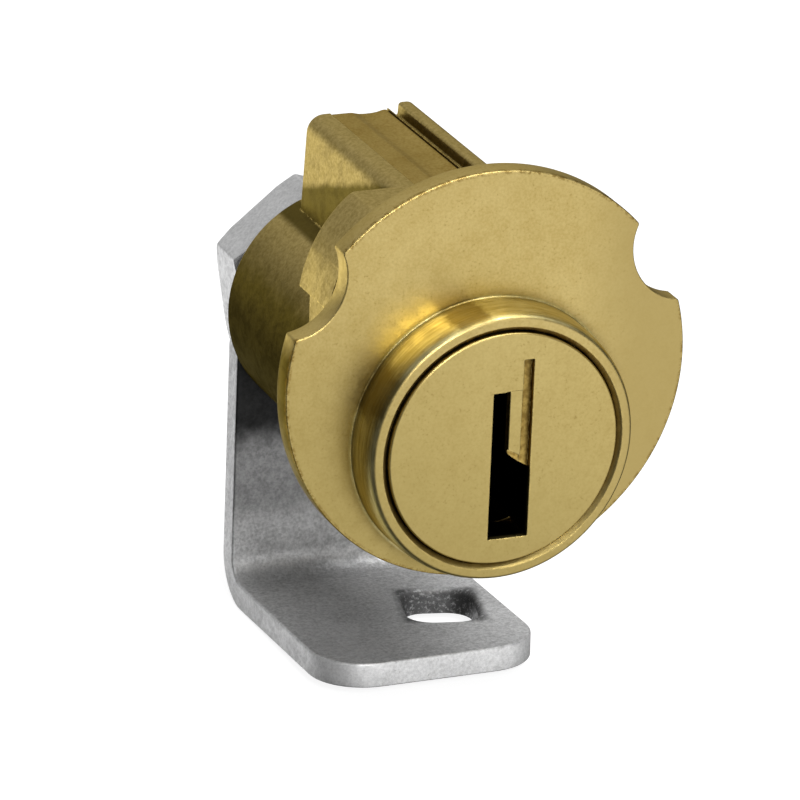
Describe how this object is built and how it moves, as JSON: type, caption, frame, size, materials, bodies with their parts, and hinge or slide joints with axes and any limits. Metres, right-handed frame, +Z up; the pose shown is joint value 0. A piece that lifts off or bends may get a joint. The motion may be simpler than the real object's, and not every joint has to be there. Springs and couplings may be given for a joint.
{
  "type": "cam lock",
  "caption": "Flanged pin-tumbler cam lock with a notched round flange, a keyed plug and an L-shaped cam with a link hole on its tail.",
  "frame": {"origin": "on the plug's axis, in the plane of the flange's rear face, which seats on the panel", "axes": "+Y along the plug's axis from the keyway to the cam, so the keyway faces -Y; +Z up through the pin chambers; +X to the right seen from the front"},
  "size_m": [0.0222, 0.029, 0.0316],
  "materials": {
    "brass_plated": "satin",
    "brass_cover": "satin, slightly tarnished",
    "brass_plug": "satin",
    "pin_brass": "turned",
    "galvanised_steel": "zinc-plated, mottled",
    "spring_steel": "bright wire"
  },
  "bodies": {
    "body": {"housing": "brass_plated", "spring_cover": "brass_cover", "pin_spring_1": "spring_steel", "pin_spring_2": "spring_steel", "pin_spring_3": "spring_steel", "pin_spring_4": "spring_steel", "pin_spring_5": "spring_steel"},
    "turning": {"plug": "brass_plug", "cam": "galvanised_steel", "hex_nut": "galvanised_steel"},
    "key_pin_1": {"key_pin_1": "pin_brass"},
    "driver_pin_1": {"driver_pin_1": "pin_brass"},
    "key_pin_2": {"key_pin_2": "pin_brass"},
    "driver_pin_2": {"driver_pin_2": "pin_brass"},
    "key_pin_3": {"key_pin_3": "pin_brass"},
    "driver_pin_3": {"driver_pin_3": "pin_brass"},
    "key_pin_4": {"key_pin_4": "pin_brass"},
    "driver_pin_4": {"driver_pin_4": "pin_brass"},
    "key_pin_5": {"key_pin_5": "pin_brass"},
    "driver_pin_5": {"driver_pin_5": "pin_brass"}
  },
  "joints": [
    {"name": "plug_turn", "type": "hinge", "parent": "body", "child": "turning", "pos_m": [0, 0, 0], "axis": [0, 1, 0], "range_deg": [0, 90]},
    {"name": "key_pin_1_slide", "type": "slide", "parent": "turning", "child": "key_pin_1", "axis": [0, 0, 1], "range_m": [-0.00108, 0]},
    {"name": "driver_pin_1_slide", "type": "slide", "parent": "body", "child": "driver_pin_1", "axis": [0, 0, 1], "range_m": [-0.00108, 0], "deforming": ["pin_spring_1"]},
    {"name": "key_pin_2_slide", "type": "slide", "parent": "turning", "child": "key_pin_2", "axis": [0, 0, 1], "range_m": [-0.00168, 0]},
    {"name": "driver_pin_2_slide", "type": "slide", "parent": "body", "child": "driver_pin_2", "axis": [0, 0, 1], "range_m": [-0.00168, 0], "deforming": ["pin_spring_2"]},
    {"name": "key_pin_3_slide", "type": "slide", "parent": "turning", "child": "key_pin_3", "axis": [0, 0, 1], "range_m": [-0.00058, 0]},
    {"name": "driver_pin_3_slide", "type": "slide", "parent": "body", "child": "driver_pin_3", "axis": [0, 0, 1], "range_m": [-0.00058, 0], "deforming": ["pin_spring_3"]},
    {"name": "key_pin_4_slide", "type": "slide", "parent": "turning", "child": "key_pin_4", "axis": [0, 0, 1], "range_m": [-0.00138, 0]},
    {"name": "driver_pin_4_slide", "type": "slide", "parent": "body", "child": "driver_pin_4", "axis": [0, 0, 1], "range_m": [-0.00138, 0], "deforming": ["pin_spring_4"]},
    {"name": "key_pin_5_slide", "type": "slide", "parent": "turning", "child": "key_pin_5", "axis": [0, 0, 1], "range_m": [-0.00088, 0]},
    {"name": "driver_pin_5_slide", "type": "slide", "parent": "body", "child": "driver_pin_5", "axis": [0, 0, 1], "range_m": [-0.00088, 0], "deforming": ["pin_spring_5"]}
  ],
  "couplings": [
    {"joint": "driver_pin_1_slide", "follows": "key_pin_1_slide", "ratio": 1},
    {"joint": "driver_pin_2_slide", "follows": "key_pin_2_slide", "ratio": 1},
    {"joint": "driver_pin_3_slide", "follows": "key_pin_3_slide", "ratio": 1},
    {"joint": "driver_pin_4_slide", "follows": "key_pin_4_slide", "ratio": 1},
    {"joint": "driver_pin_5_slide", "follows": "key_pin_5_slide", "ratio": 1}
  ]
}
